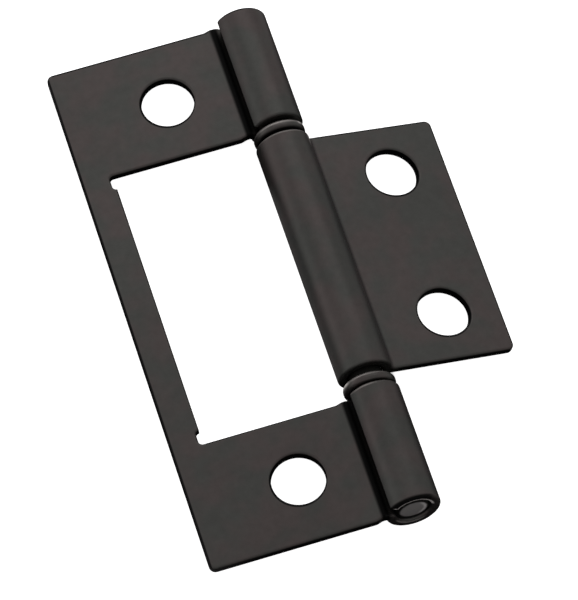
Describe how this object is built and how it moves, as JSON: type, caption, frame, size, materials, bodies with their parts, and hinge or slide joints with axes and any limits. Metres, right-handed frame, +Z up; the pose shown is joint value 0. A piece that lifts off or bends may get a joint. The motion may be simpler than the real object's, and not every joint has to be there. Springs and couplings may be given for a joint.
{
  "type": "surface mount hinge",
  "caption": "Non-mortise surface mount hinge with rolled knuckles and washers; the small leaf nests in the window of the large leaf when closed.",
  "frame": {"origin": "on the table under the middle of the open hinge, half way along it and half way between the leaves' free edges", "axes": "+Y along the pin, +Z up off the table the open hinge lies on, +X from the outer leaf to the inner leaf"},
  "size_m": [0.048, 0.0766, 0.0074],
  "materials": {
    "leaf_coating": "satin dark bronze coat on steel sheet",
    "pin_coating": "satin dark bronze coat on a steel pin",
    "washer_coating": "satin dark bronze coat on steel washers"
  },
  "bodies": {
    "outer_body": {"outer_leaf": "leaf_coating", "hinge_pin": "pin_coating", "upper_washer": "washer_coating", "lower_washer": "washer_coating"},
    "inner_body": {"inner_leaf": "leaf_coating"}
  },
  "joints": [
    {"name": "leaf_swing", "type": "hinge", "parent": "outer_body", "child": "inner_body", "pos_m": [0.00304, 0.00004, 0.00368], "axis": [0, -1, 0], "range_deg": [-165.34, 194.66]}
  ]
}
